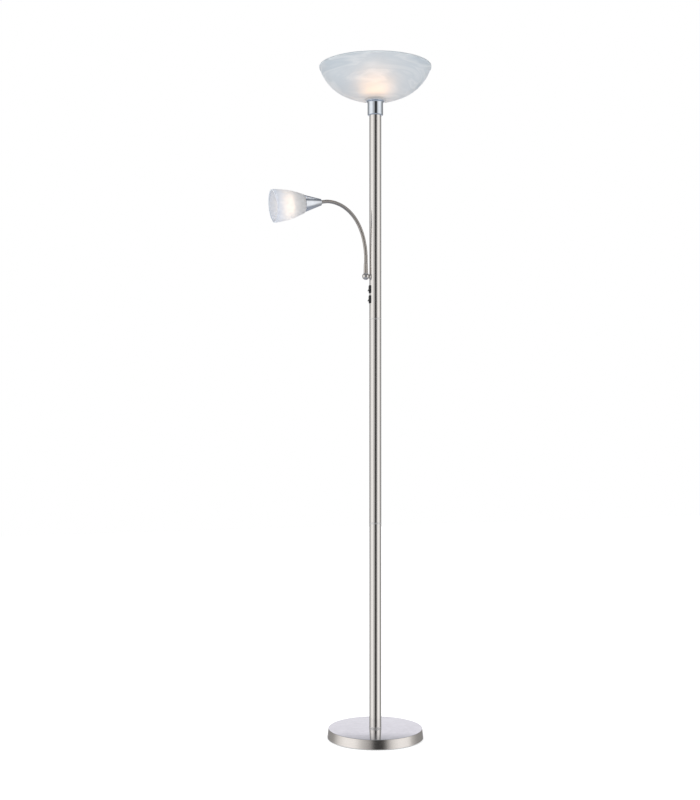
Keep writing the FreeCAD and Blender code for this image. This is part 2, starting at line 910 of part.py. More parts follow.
def make_switch_housing(name, height):
    """Moulded housing: a bezel curved to the pole and a box behind it, open to the front."""
    half_bezel = dim.bezel_width / 2
    half_box = dim.housing_width / 2
    face_edge = other_side(bezel_face, half_bezel)
    seat_edge = other_side(pole_radius, half_bezel)
    box_edge = other_side(pole_radius, half_box)
    body = new_body(name)
    plan = new_sketch(body, "XY_Plane", f"{name}_plan")
    outline = [
        (-housing_back, -half_box),
        (-housing_back, half_box),
        (-box_edge, half_box),
        (-seat_edge, half_bezel, -pole_radius),
        (-face_edge, half_bezel),
        (-face_edge, -half_bezel, bezel_face),
        (-seat_edge, -half_bezel),
        (-box_edge, -half_box, -pole_radius),
    ]
    draw_outline(plan, outline)
    add_pad(body, plan, f"{name}_block", dim.bezel_height, centred=True)
    doc.recompute()
    ledge = (dim.bezel_height - dim.housing_height) / 2
    for end, low in (("top", dim.housing_height / 2), ("foot", -dim.bezel_height / 2)):
        step = new_sketch(body, "XY_Plane", f"{name}_{end}_step", offset=low)
        step_outline = [
            (zero, -half_bezel),
            (zero, half_bezel),
            (-seat_edge, half_bezel),
            (-seat_edge, -half_bezel, pole_radius),
        ]
        draw_outline(step, step_outline)
        add_pocket(body, step, f"{name}_{end}_relief", length=ledge, backwards=True)
    mouth = new_sketch(body, "YZ_Plane", f"{name}_mouth", offset=dim.socket_back - pivot_x)
    half_width = opening_width / 2
    draw_outline(mouth, rectangle(-half_width, -opening_half, half_width, opening_half))
    add_pocket(body, mouth, f"{name}_socket")
    bearings = new_sketch(body, "XZ_Plane", f"{name}_bearings")
    draw_circle(bearings, dim.pivot_diameter / 2 + dim.pivot_gap, across=-pivot_x)
    add_pocket(body, bearings, f"{name}_bearing_holes", length=dim.bezel_width, centred=True)
    round_edges(
        body,
        f"{name}_corners",
        dim.bezel_corner,
        lambda edge: is_bezel_corner(edge, half_bezel.value, dim.bezel_height.value / 2),
    )
    return place(body, z=height)


def is_bezel_corner(edge, half_width, half_height):
    """Whether an edge runs front to back at a corner of the bezel."""
    near = 0.01
    ends = [vertex.Point for vertex in edge.Vertexes]
    if len(ends) != 2:
        return False
    return all(
        abs(abs(end.y) - half_width) < near and abs(abs(end.z) - half_height) < near for end in ends
    ) and abs(ends[0].x - ends[1].x) > near


def make_rocker(name, height):
    """Rocker with a shallow V face, on two pivot studs, at rest with its lower end out."""
    body = new_body(name)
    side = new_sketch(body, "XZ_Plane", f"{name}_side")
    tip, length = rocker_tip, dim.rocker_half_length
    back, heel = dim.rocker_back, dim.rocker_heel
    outline = [
        (-dim.rocker_depth, zero),
        (-tip, length),
        (-back, heel),
        (back, back),
        (back, -back),
        (-back, -heel),
        (-tip, -length),
    ]
    draw_outline(side, outline)
    add_pad(body, side, f"{name}_block", dim.rocker_width, centred=True)
    studs = new_sketch(body, "XZ_Plane", f"{name}_studs_outline")
    draw_circle(studs, dim.pivot_diameter / 2)
    stud_length = dim.housing_width - dim.stud_end_gap * 2
    add_pad(body, studs, f"{name}_studs", stud_length, centred=True)
    return place(body, x=-pivot_x, z=height, lean=-dim.rocker_tilt)


def make_switch_terminals(name, height):
    """Two flat tabs behind a switch housing."""
    tabs = []
    for end, side in (("line", 1), ("load", -1)):
        tab = doc.addObject("Part::Box", f"{name}_{end}")
        bind(tab, "Length", dim.terminal_length)
        bind(tab, "Width", dim.terminal_width)
        bind(tab, "Height", dim.terminal_thickness)
        middle = height + dim.terminal_spacing * side / 2
        place(
            tab,
            x=-housing_back,
            y=-dim.terminal_width / 2,
            z=middle - dim.terminal_thickness / 2,
        )
        tabs.append(tab)
    group = doc.addObject("Part::Compound", name)
    group.Links = tabs
    return keep(group, name)


# ---- swivel of the reading arm: the stub's own Z axis points to -X ----
ball_radius = dim.ball_diameter / 2
pin_radius = dim.pivot_pin_diameter / 2
quarter_turn = 90
eighth_turn = 45


def make_arm_stub():
    """Fixed hollow stub: a threaded shank inside the pole, a collar shaped to the pole and a
    plain pin with a groove for the grub screw."""
    collar = dim.stub_collar_diameter / 2
    shank = dim.nipple_diameter / 2
    collar_z = dim.arm_offset - ball_radius - dim.stub_collar_gap / 2
    shank_z = pole_radius - dim.tube_wall - dim.stub_nut_height - dim.washer_thickness * 2
    saddle_z = other_side(pole_radius, collar) - dim.tube_wall
    pin_end = dim.arm_offset + dim.pivot_pin_reach
    groove = dim.pin_groove_width / 2
    outline = [
        (dim.stub_bore / 2, shank_z),
        (shank, shank_z),
        (shank, saddle_z),
        (collar, saddle_z),
        (collar, collar_z),
        (pin_radius, collar_z),
        (pin_radius, dim.arm_offset - groove),
        (dim.pin_groove_diameter / 2, dim.arm_offset - groove),
        (dim.pin_groove_diameter / 2, dim.arm_offset + groove),
        (pin_radius, dim.arm_offset + groove),
        (pin_radius, pin_end),
        (dim.stub_bore / 2, pin_end),
    ]
    body = turned("stub_blank", outline)
    pieces.remove(body)
    place(body, z=arm_z, lean=quarter_turn)
    pole = doc.addObject("Part::Cylinder", "stub_saddle_shape")
    bind(pole, "Radius", pole_radius)
    bind(pole, "Height", dim.stub_collar_diameter * 2)
    core = doc.addObject("Part::Cylinder", "stub_saddle_core")
    bind(core, "Radius", shank)
    bind(core, "Height", dim.tube_diameter)
    place(core, z=arm_z, lean=quarter_turn)
    place(pole, z=arm_z - dim.stub_collar_diameter)
    saddle = doc.addObject("Part::Cut", "stub_saddle")
    saddle.Base = pole
    saddle.Tool = core
    stub = doc.addObject("Part::Cut", "arm_stub")
    stub.Base = body
    stub.Tool = saddle
    return keep(stub, "arm_stub")


def make_stub_fasteners():
    """Washer shaped to the inside of the pole, and the nut that pulls the stub tight."""
    bore_radius = pole_bore / 2
    washer_z = other_side(bore_radius, dim.stub_washer_diameter / 2) - dim.washer_thickness
    blank = turned(
        "washer_blank",
        ring_outline(nipple_hole, dim.stub_washer_diameter, washer_z, bore_radius),
    )
    pieces.remove(blank)
    place(blank, z=arm_z, lean=quarter_turn)
    inside = doc.addObject("Part::Cylinder", "washer_saddle_shape")
    bind(inside, "Radius", bore_radius)
    bind(inside, "Height", dim.stub_washer_diameter * 2)
    place(inside, z=arm_z - dim.stub_washer_diameter)
    washer = doc.addObject("Part::Common", "stub_washer")
    washer.Base = blank
    washer.Tool = inside
    keep(washer, "stub_washer")
    nut = hex_nut("stub_nut", dim.nut_across_flats, dim.stub_nut_height, nipple_hole)
    place(nut, x=dim.stub_nut_height - washer_z, z=arm_z, lean=quarter_turn)


def make_arm_ball():
    """Chrome ball that turns on the stub's pin. Its own Z axis points to -X, its X axis up."""
    bore = pin_radius + dim.running_gap
    bore_end = dim.pivot_pin_reach + dim.pin_end_gap
    flat = other_side(ball_radius, dim.ferrule_diameter / 2)
    outline = [
        (bore, -other_side(ball_radius, bore)),
        (ball_radius, zero, ball_radius, 2),
        (zero, ball_radius, ball_radius, 3),
        (zero, bore_end),
        (bore, bore_end),
    ]
    body = turned("arm_ball", outline)
    seat = new_sketch(body, "YZ_Plane", "ball_flat_outline", offset=flat)
    draw_circle(seat, dim.ferrule_diameter / 2)
    add_pocket(body, seat, "ball_flat", backwards=True)
    spigot = new_sketch(body, "YZ_Plane", "ball_spigot_outline")
    draw_circle(spigot, dim.ferrule_spigot_diameter / 2 + dim.thread_gap)
    add_pocket(body, spigot, "ball_spigot_hole", backwards=True)
    grub = new_sketch(body, "YZ_Plane", "ball_grub_outline")
    draw_circle(grub, dim.grub_diameter / 2 + dim.thread_gap)
    add_pocket(body, grub, "ball_grub_hole")
    return place(body, x=-dim.arm_offset, z=arm_z, lean=quarter_turn)


def make_arm_grub():
    """Grub screw that holds the ball on the pin: its tip runs in the pin's groove."""
    tip = dim.pin_groove_diameter / 2 + dim.grub_gap
    radius = dim.grub_diameter / 2
    length = ball_radius - tip - dim.grub_gap
    point = dim.grub_gap * 2
    outline = [
        (zero, zero),
        (radius, zero),
        (radius, length - point),
        (radius - point, length),
        (zero, length),
    ]
    body = turned("arm_grub_screw", outline)
    return place(body, x=-dim.arm_offset, z=arm_z - tip - length)


ferrule_z = arm_z + other_side(ball_radius, dim.ferrule_diameter / 2)
hose_start_z = ferrule_z + dim.ferrule_length - dim.ferrule_grip
hose_hole = dim.hose_diameter + dim.hose_fit_gap * 2


def make_arm_ferrule():
    """Tapered sleeve on the ball that grips the foot of the hose."""
    foot = dim.ferrule_diameter / 2
    top = hose_hole / 2 + dim.ferrule_wall
    chamfer = dim.ferrule_chamfer
    length = dim.ferrule_length
    floor = length - dim.ferrule_grip
    spigot = dim.ferrule_spigot_diameter / 2
    bore = dim.hose_bore / 2
    outline = [
        (bore, -dim.ferrule_spigot_length),
        (spigot, -dim.ferrule_spigot_length),
        (spigot, zero),
        (foot - chamfer, zero),
        (foot, chamfer),
        (top, length),
        (hose_hole / 2, length),
        (hose_hole / 2, floor),
        (bore, floor),
    ]
    return place(turned("arm_ferrule", outline), x=-dim.arm_offset, z=ferrule_z)


# ---- bendable hose ----
hose_angles = [getattr(dim, f"hose_bend_angle_{number}") for number in range(1, 8)]


def past_link(x, z, lean):
    """Where a link that starts at a joint ends."""
    length = dim.hose_link_length
    return x - length * sine(lean), z + length * cosine(lean)


def hose_joints():
    """Where each link starts and the last one ends: x, z and the lean from +Z towards -X."""
    joints = [(-dim.arm_offset, hose_start_z, zero)]
    for angle in hose_angles:
        x, z, lean = joints[-1]
        joints.append((*past_link(x, z, lean), lean + angle))
    x, z, lean = joints[-1]
    joints.append((*past_link(x, z, lean), lean))
    return joints


def make_hose_link(number, joint, first, last):
    """One link of the hose, with a bore for the lead. Its foot is a conical socket and its
    head a double cone; both keep to a sphere about the joint, so the links turn freely."""
    length = dim.hose_link_length
    gap = dim.hose_link_gap
    outer = dim.hose_diameter / 2
    bore = dim.hose_bore / 2
    socket_reach = outer - dim.hose_rim_wall + gap
    ball = socket_reach * sine(as_size(eighth_turn)) - dim.hose_socket_gap
    tip = bore + dim.hose_tip_wall
    foot = [(bore, zero), (outer, zero)]
    head = [(outer, length), (bore, length)]
    if not first:
        foot = [(bore, socket_reach - bore), (socket_reach - gap, gap), (outer, gap)]
    if not last:
        head = [
            (outer, length - gap),
            (other_side(ball, gap), length - gap),
            (ball, length),
            (tip, length + other_side(ball, tip)),
            (bore, length + other_side(ball, tip)),
        ]
    x, z, lean = joint
    return place(turned(f"hose_link_{number}", foot + head), x=x, z=z, lean=lean)


def make_hose(joints):
    last = len(hose_angles) + 1
    for number in range(1, last + 1):
        make_hose_link(number, joints[number - 1], number == 1, number == last)


# ---- reading head: its pieces are turned about the axis that leaves the hose's end ----
cone_rear = zero - dim.cone_grip
cone_mouth = cone_rear + dim.cone_length
reading_holder_front = cone_mouth + dim.shade_wall + dim.reading_ring_height + dim.reading_holder_reach
reading_holder_rear = reading_holder_front - dim.reading_holder_length


def on_head(piece, joint, along):
    """Puts a piece on the head's axis, at a distance from the hose's end."""
    x, z, lean = joint
    return place(piece, x=x - sine(lean) * along, z=z + cosine(lean) * along, lean=lean)


def make_reading_cone(joint):
    """Chrome cone: a solid tip that grips the hose and a thin wall that flares to the shade."""
    tip = dim.cone_tip_diameter / 2
    mouth = dim.cone_mouth_diameter / 2
    length = dim.cone_length
    wall = dim.cone_wall
    slope = (mouth - tip) / length
    hollow = dim.cone_grip + dim.cone_floor
    outline = [
        (hose_hole / 2, zero),
        (tip - wall, zero),
        (tip + slope * wall, wall),
        (mouth, length),
        (mouth - wall, length),
        (tip + slope * hollow - wall, hollow),
        (dim.hose_bore / 2, hollow),
        (dim.hose_bore / 2, dim.cone_grip),
        (hose_hole / 2, dim.cone_grip),
    ]
    return on_head(turned("reading_cone", outline), joint, cone_rear)


def make_reading_light(joint):
    holder = lampholder(
        "reading_lampholder",
        dim.reading_holder_diameter,
        dim.reading_holder_length,
        dim.reading_holder_bore,
        dim.reading_holder_floor,
    )
    on_head(holder, joint, reading_holder_rear)
    button_along = reading_holder_rear + dim.reading_holder_floor
    shell = screw_shell(
        "reading_holder_shell",
        dim.reading_shell_bore,
        dim.reading_shell_height,
        dim.reading_button_diameter + dim.bulb_wall,
    )
    on_head(shell, joint, button_along)
    cap = bulb_cap(
        "reading_bulb_cap",
        dim.reading_cap_diameter,
        dim.reading_cap_height,
        dim.reading_button_diameter,
    )
    on_head(cap, joint, button_along)
    glass = bulb_glass(
        "reading_bulb",
        dim.reading_globe_diameter,
        dim.reading_neck_diameter,
        dim.reading_bulb_length - dim.reading_cap_height,
    )
    on_head(glass, joint, button_along + dim.reading_cap_height)


def make_holder_nipple(joint):
    """Nipple that carries the lampholder on the cone's floor."""
    low = cone_rear + dim.cone_grip + dim.cone_floor
    high = reading_holder_rear + dim.insert_web
    nipple = turned(
        "reading_nipple", ring_outline(dim.hose_bore, dim.nipple_diameter, zero, high - low)
    )
    on_head(nipple, joint, low)


def make_reading_shade(joint):
    """Blown glass shade: a floor with a hole for the lampholder, a conical rear part and a
    side that curves until it is almost parallel at the mouth."""
    rear = dim.shade_rear_diameter / 2
    knee = dim.shade_knee_diameter / 2
    mouth = dim.shade_mouth_diameter / 2
    wall = dim.shade_wall
    hole = dim.reading_holder_diameter / 2 + dim.thread_gap * 4
    curve = dim.shade_curve_radius
    outline = [
        (hole, zero),
        (rear, zero),
        (knee, dim.shade_knee),
        (mouth, dim.shade_length, curve, 3),
        (mouth - wall, dim.shade_length),
        (knee - wall, dim.shade_knee, wall - curve, 2),
        (rear - wall, wall),
        (hole, wall),
    ]
    body = turned("reading_shade", outline)
    bevel_edges(
        body,
        "shade_rim",
        dim.shade_rim_bevel,
        lambda edge: is_ring(edge, mouth, dim.shade_length)
        or is_ring(edge, mouth - wall, dim.shade_length),
    )
    return on_head(body, joint, cone_mouth)


def make_reading_ring(joint):
    bore = dim.reading_holder_diameter + dim.thread_gap * 2
    ring = turned(
        "reading_ring", ring_outline(bore, dim.reading_ring_diameter, zero, dim.reading_ring_height)
    )
    return on_head(ring, joint, cone_mouth + dim.shade_wall)


# ---- the lamp, from the floor up and out along the arm ----
make_base_pad()
make_base_weight()
make_base_cover()
make_cord_grommet()
make_foot_fasteners()
make_ring("foot_ring", foot_ring_z)
make_tube("lower_tube", lower_tube_z)
make_ring("lower_joint_ring", lower_ring_z)
make_tube("middle_tube", middle_tube_z)
make_ring("upper_joint_ring", upper_ring_z)
cut_upper_tube(make_tube("upper_tube", upper_tube_z))
make_tube_inserts()
make_joint_nipple("lower_joint_nipple", lower_ring_z)
make_joint_nipple("upper_joint_nipple", upper_ring_z)
make_holder_cup()
make_cup_fasteners()
make_bowl_light()
make_bowl_clamp()
make_glass_bowl()
for place_name, switch_z in (("upper", upper_switch_z), ("lower", lower_switch_z)):
    make_switch_housing(f"{place_name}_switch_housing", switch_z)
    make_rocker(f"{place_name}_rocker", switch_z)
    make_switch_terminals(f"{place_name}_switch_terminals", switch_z)
make_arm_stub()
make_stub_fasteners()
make_arm_ball()
make_arm_grub()
make_arm_ferrule()
joints = hose_joints()
make_hose(joints)
head_joint = joints[-1]
make_reading_cone(head_joint)
make_holder_nipple(head_joint)
make_reading_light(head_joint)
make_reading_shade(head_joint)
make_reading_ring(head_joint)

doc.recompute()
for item in doc.Objects:
    if "Invalid" in item.State or "Error" in item.State:
        raise RuntimeError(f"{item.Name} failed: {item.State}")
for piece in pieces:
    if piece.Shape.isNull() or not piece.Shape.isValid():
        raise RuntimeError(f"{piece.Label} has no valid shape")
os.makedirs("parts", exist_ok=True)
for piece in pieces:
    piece.Shape.exportStep(f"parts/{piece.Label}.step")
print(f"{len(pieces)} pieces written")
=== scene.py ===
import bpy
import bmesh
import json
import math
from mathutils import Matrix, Vector


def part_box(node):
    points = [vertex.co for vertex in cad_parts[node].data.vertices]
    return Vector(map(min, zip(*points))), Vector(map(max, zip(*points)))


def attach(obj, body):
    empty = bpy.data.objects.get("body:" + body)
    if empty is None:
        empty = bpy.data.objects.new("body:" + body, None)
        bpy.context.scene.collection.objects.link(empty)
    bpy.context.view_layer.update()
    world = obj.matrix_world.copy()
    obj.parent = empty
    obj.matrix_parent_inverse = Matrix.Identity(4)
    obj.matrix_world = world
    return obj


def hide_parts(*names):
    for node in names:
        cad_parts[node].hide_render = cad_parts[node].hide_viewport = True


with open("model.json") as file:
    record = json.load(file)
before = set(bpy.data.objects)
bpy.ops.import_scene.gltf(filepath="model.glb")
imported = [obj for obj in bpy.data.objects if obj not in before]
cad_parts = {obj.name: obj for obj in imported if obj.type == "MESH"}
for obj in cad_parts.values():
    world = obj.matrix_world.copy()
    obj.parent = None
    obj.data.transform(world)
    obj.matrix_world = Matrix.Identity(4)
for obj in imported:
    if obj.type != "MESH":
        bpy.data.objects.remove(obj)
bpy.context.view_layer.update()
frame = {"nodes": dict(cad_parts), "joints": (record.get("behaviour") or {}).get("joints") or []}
scene = bpy.context.scene

# ---- Camera ----
# A level view from 3.3 m away and 0.85 m up. The pole stands a little right of the middle,
# and the reading arm comes slightly towards the viewer.
camera_turn = math.radians(-18)
camera_distance, camera_aside, camera_height = 3.279, 0.0676, 0.854
towards_camera = Vector((math.sin(camera_turn), -math.cos(camera_turn), 0))
camera_right = Vector((math.cos(camera_turn), math.sin(camera_turn), 0))
camera = bpy.data.objects.new("camera", bpy.data.cameras.new("camera"))
scene.collection.objects.link(camera)
camera.location = (
    towards_camera * camera_distance
    - camera_right * camera_aside
    + Vector((0, 0, camera_height))
)
camera.rotation_euler = (math.pi / 2, 0, camera_turn)
camera.data.lens = 55.26
camera.data.shift_y = 0.0219
scene.camera = camera
scene.view_settings.view_transform = "Standard"

# ---- Studio ----
# A white room with one soft lamp. In metal it shows as two broad bright panels left and right
# of the viewer, with a dark gap between them and a dim ceiling. The floor keeps the shadow.


def node_tree(owner):
    """Empties an owner's node tree, and gives a maker of nodes with their inputs set."""
    owner.use_nodes = True
    tree = owner.node_tree
    tree.nodes.clear()

    def add(kind, **inputs):
        node = tree.nodes.new(kind)
        for name, value in inputs.items():
            if name[0] == "i" and name[1:].isdigit():
                socket = node.inputs[int(name[1:])]
            elif name.replace("_", " ") in node.inputs:
                socket = node.inputs[name.replace("_", " ")]
            else:
                setattr(node, name, value)
                continue
            if isinstance(value, bpy.types.NodeSocket):
                tree.links.new(value, socket)
            else:
                socket.default_value = value
        return node

    return add


def ramp(add, factor, stops):
    """A colour ramp through (place, grey or colour) stops."""
    node = add("ShaderNodeValToRGB", Fac=factor)
    elements = node.color_ramp.elements
    while len(elements) < len(stops):
        elements.new(0.5)
    for element, (place, colour) in zip(elements, stops):
        element.position = place
        element.color = (*colour, 1) if isinstance(colour, tuple) else (colour, colour, colour, 1)
    return node.outputs["Color"]


room = bpy.data.worlds.new("room")
scene.world = room
add = node_tree(room)
turned_view = add(
    "ShaderNodeMapping",
    Vector=add("ShaderNodeTexCoord").outputs["Generated"],
    Rotation=(0, 0, -camera_turn),
)
ways = add("ShaderNodeSeparateXYZ", Vector=turned_view.outputs["Vector"])
minus_y = add("ShaderNodeMath", operation="MULTIPLY", i0=ways.outputs["Y"], i1=-1.0)
bearing = add("ShaderNodeMath", operation="ARCTAN2", i0=ways.outputs["X"], i1=minus_y.outputs[0])
share = add(
    "ShaderNodeMath", operation="MULTIPLY_ADD", i0=bearing.outputs[0], i1=0.5 / math.pi, i2=0.5
)
walls = ramp(
    add,
    share.outputs[0],
    [
        (0.00, (0.80, 0.79, 0.84)),
        (0.035, (0.78, 0.77, 0.82)),
        (0.055, 0.26),
        (0.17, 0.34),
        (0.22, 0.72),
        (0.28, 1.00),
        (0.36, 1.00),
        (0.405, 0.62),
        (0.45, 0.42),
        (0.472, 0.30),
        (0.485, 0.03),
        (0.552, 0.03),
        (0.575, 0.32),
        (0.605, 0.75),
        (0.66, 1.00),
        (0.735, 0.95),
        (0.77, 0.50),
        (0.83, 0.30),
        (0.945, 0.26),
        (0.965, (0.78, 0.77, 0.82)),
        (1.00, (0.80, 0.79, 0.84)),
    ],
)
wall_ends, ceiling_starts = 0.34, 0.62
upwards = add("ShaderNodeMapRange", Value=ways.outputs["Z"], i1=wall_ends, i2=ceiling_starts)
downwards = add("ShaderNodeMapRange", Value=ways.outputs["Z"], i1=-wall_ends, i2=-ceiling_starts)
above = add(
    "ShaderNodeMix",
    data_type="RGBA",
    i0=upwards.outputs[0],
    i6=walls,
    i7=(0.20, 0.21, 0.23, 1),
)
mirrored = add(
    "ShaderNodeMix",
    data_type="RGBA",
    i0=downwards.outputs[0],
    i6=above.outputs[2],
    i7=(0.36, 0.39, 0.45, 1),
)
ray = add("ShaderNodeLightPath")
behind_glass = ray.outputs["Is Transmission Ray"]
outside = add("ShaderNodeMath", operation="SUBTRACT", i0=1.0, i1=behind_glass)
mirror_ray = add(
    "ShaderNodeMath",
    operation="MULTIPLY",
    i0=ray.outputs["Is Glossy Ray"],
    i1=outside.outputs[0],
)
seen = add(
    "ShaderNodeMix",
    data_type="RGBA",
    i0=mirror_ray.outputs[0],
    i6=(1, 1, 1, 1),
    i7=mirrored.outputs[2],
)
sky = add("ShaderNodeBackground", Color=seen.outputs[2], Strength=1.0)
add("ShaderNodeOutputWorld", Surface=sky.outputs[0])

floor_size, floor_drop = 12, 0.0005
bm = bmesh.new()
bmesh.ops.create_grid(bm, x_segments=2, y_segments=2, size=floor_size / 2)
bmesh.ops.translate(bm, vec=(0, 0, -floor_drop), verts=bm.verts)
floor_mesh = bpy.data.meshes.new("floor")
bm.to_mesh(floor_mesh)
bm.free()
floor = bpy.data.objects.new("floor", floor_mesh)
scene.collection.objects.link(floor)
floor_white = bpy.data.materials.new("floor_white")
add = node_tree(floor_white)
paint = add("ShaderNodeBsdfDiffuse", Color=(0.92, 0.92, 0.93, 1))
white = add("ShaderNodeEmission", Color=(1, 1, 1, 1), Strength=0.35)
both = add("ShaderNodeAddShader", i0=paint.outputs[0], i1=white.outputs[0])
add("ShaderNodeOutputMaterial", Surface=both.outputs[0])
floor_mesh.materials.append(floor_white)
floor.visible_glossy = False


def soft_box(name, size, place, aim, power):
    """A rectangular studio lamp that metal doesn't mirror."""
    lamp = bpy.data.lights.new(name, "AREA")
    lamp.shape = "RECTANGLE"
    lamp.size, lamp.size_y = size
    lamp.energy = power
    holder = bpy.data.objects.new(name, lamp)
    scene.collection.objects.link(holder)
    holder.location = place
    holder.rotation_euler = (Vector(aim) - Vector(place)).to_track_quat("-Z", "Y").to_euler()
    holder.visible_glossy = False


left_lamp = towards_camera * 2.2 - camera_right * 2.4 + Vector((0, 0, 2.6))
soft_box("left_soft_box", size=(1.6, 2.2), place=left_lamp, aim=(0, 0, 1.0), power=18)

# ---- Round foot ----
# A sheet steel cover, nickel plated and brushed in rings on its side and polished on top,
# over a cast weight. It stands on a foam pad, and a rubber grommet lines the cord's outlet.


def section(start, *moves):
    """Half a section in the XZ plane: (x, z) is a straight run to that point, and
    (x, z, degrees, steps) an arc about that centre, anticlockwise where degrees are positive."""
    bm = bmesh.new()
    tip = bm.verts.new((start[0], 0, start[1]))
    for move in moves:
        if len(move) == 2:
            tip = bmesh.ops.extrude_vert_indiv(bm, verts=[tip])["verts"][0]
            tip.co = (move[0], 0, move[1])
            continue
        made = bmesh.ops.spin(
            bm,
            geom=[tip],
            cent=(move[0], 0, move[1]),
            axis=(0, -1, 0),
            angle=math.radians(move[2]),
            steps=move[3],
        )
        tip = next(item for item in made["geom_last"] if isinstance(item, bmesh.types.BMVert))
    return bm


def spin_round(bm, steps=128):
    """Spins a section about Z into a closed or open shell with its faces outwards."""
    bmesh.ops.spin(
        bm,
        geom=bm.verts[:] + bm.edges[:],
        cent=(0, 0, 0),
        axis=(0, 0, 1),
        angle=2 * math.pi,
        steps=steps,
        use_merge=True,
    )
    bmesh.ops.remove_doubles(bm, verts=bm.verts, dist=1e-6)
    bmesh.ops.recalc_face_normals(bm, faces=bm.faces)
    return bm


def piece(name, bm, finishes, place=Matrix(), body=None, stands_for=()):
    """Makes a finished piece of a mesh, with its place in the mesh."""
    mesh = bpy.data.meshes.new(name)
    bm.transform(place)
    bm.to_mesh(mesh)
    bm.free()
    mesh.shade_smooth()
    mesh.set_sharp_from_angle(angle=math.radians(32))
    made = bpy.data.objects.new(name, mesh)
    scene.collection.objects.link(made)
    for finish in finishes:
        mesh.materials.append(finish)
    if stands_for:
        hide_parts(*stands_for)
    if body:
        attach(made, body)
    return made


def finish_node(name, finish):
    """Gives a CAD node a finish of its own."""
    for holder in frame["nodes"][name].material_slots:
        holder.material = finish


def metal(name, colour, rough, grain, depth, uneven=0.25, coat=0.0):
    """Plated metal: grain is how fine its brushing is along X, Y and Z, in lines per metre."""
    made = bpy.data.materials.new(name)
    add = node_tree(made)
    where = add("ShaderNodeTexCoord").outputs["Object"]
    along = add("ShaderNodeMapping", Vector=where, Scale=grain)
    lines = add("ShaderNodeTexNoise", Vector=along.outputs[0], Scale=1.0, Detail=3.0, Roughness=0.6)
    patches = add("ShaderNodeTexNoise", Vector=where, Scale=9.0, Detail=2.0)
    tone = add(
        "ShaderNodeMix",
        data_type="RGBA",
        blend_type="MULTIPLY",
        i0=0.35,
        i6=(*colour, 1),
        i7=ramp(add, lines.outputs["Fac"], [(0.3, 0.72), (0.7, 1.0)]),
    )
    spread = add(
        "ShaderNodeMapRange",
        Value=lines.outputs["Fac"],
        i3=rough * (1 - uneven),
        i4=rough * (1 + uneven),
    )
    smudge = add(
        "ShaderNodeMath",
        operation="MULTIPLY_ADD",
        i0=patches.outputs["Fac"],
        i1=rough * 0.3,
        i2=spread.outputs[0],
    )
    height = add(
        "ShaderNodeBump", Strength=0.25, Distance=depth, Height=lines.outputs["Fac"]
    )
    shader = add(
        "ShaderNodeBsdfPrincipled",
        Base_Color=tone.outputs[2],
        Metallic=1.0,
        Roughness=smudge.outputs[0],
        Normal=height.outputs[0],
        Coat_Weight=coat,
    )
    add("ShaderNodeOutputMaterial", Surface=shader.outputs[0])
    return made


base_brushed = metal("base_brushed", (0.88, 0.83, 0.79), 0.2, (3, 3, 1500), 0.00002)
base_polished = metal("base_polished", (0.90, 0.89, 0.91), 0.05, (60, 60, 60), 0.00001)
low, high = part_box("base_cover")
nipple_hole, cover_sheet, foot_flare, edge = 0.0052, 0.001, 0.0025, 0.0012
foot_radius = high.x
top_radius = foot_radius - foot_flare
bm = section(
    (nipple_hole, high.z - cover_sheet),
    (top_radius - 2 * cover_sheet, high.z - cover_sheet),
    (foot_radius - cover_sheet, low.z),
    (foot_radius, low.z),
    (top_radius, high.z - edge),
    (top_radius - edge, high.z - edge, 84, 5),
    (nipple_hole, high.z),
    (nipple_hole, high.z - cover_sheet),
)
spin_round(bm, 192)
cover = piece(
    "base_cover_dressed",
    bm,
    [base_brushed, base_polished],
    body="stand",
    stands_for=["base_cover"],
)
faces_up = 0.7
for face in cover.data.polygons:
    if face.normal.z > faces_up:
        face.material_index = 1


def moulded(name, colour, rough, grain=900.0, depth=0.00004, sheen=0.0):
    """Moulded plastic, rubber or foam with a fine even texture."""
    made = bpy.data.materials.new(name)
    add = node_tree(made)
    where = add("ShaderNodeTexCoord").outputs["Object"]
    fine = add("ShaderNodeTexNoise", Vector=where, Scale=grain, Detail=2.0)
    broad = add("ShaderNodeTexNoise", Vector=where, Scale=40.0, Detail=2.0)
    tone = add(
        "ShaderNodeMix",
        data_type="RGBA",
        blend_type="MULTIPLY",
        i0=1.0,
        i6=(*colour, 1),
        i7=ramp(add, broad.outputs["Fac"], [(0.3, 0.8), (0.7, 1.0)]),
    )
    spread = add(
        "ShaderNodeMapRange", Value=broad.outputs["Fac"], i3=rough * 0.85, i4=rough * 1.15
    )
    height = add("ShaderNodeBump", Strength=0.4, Distance=depth, Height=fine.outputs["Fac"])
    shader = add(
        "ShaderNodeBsdfPrincipled",
        Base_Color=tone.outputs[2],
        Roughness=spread.outputs[0],
        Normal=height.outputs[0],
        Sheen_Weight=sheen,
    )
    add("ShaderNodeOutputMaterial", Surface=shader.outputs[0])
    return made


foam = moulded("foam", (0.03, 0.03, 0.032), 0.9, 700.0, 0.0002, 0.2)
grommet_rubber = moulded("grommet_rubber", (0.025, 0.025, 0.025), 0.6)
raw_iron = moulded("raw_iron", (0.16, 0.155, 0.15), 0.7, 300.0, 0.0003)
finish_node("base_pad", foam)
finish_node("cord_grommet", grommet_rubber)
finish_node("base_weight", raw_iron)

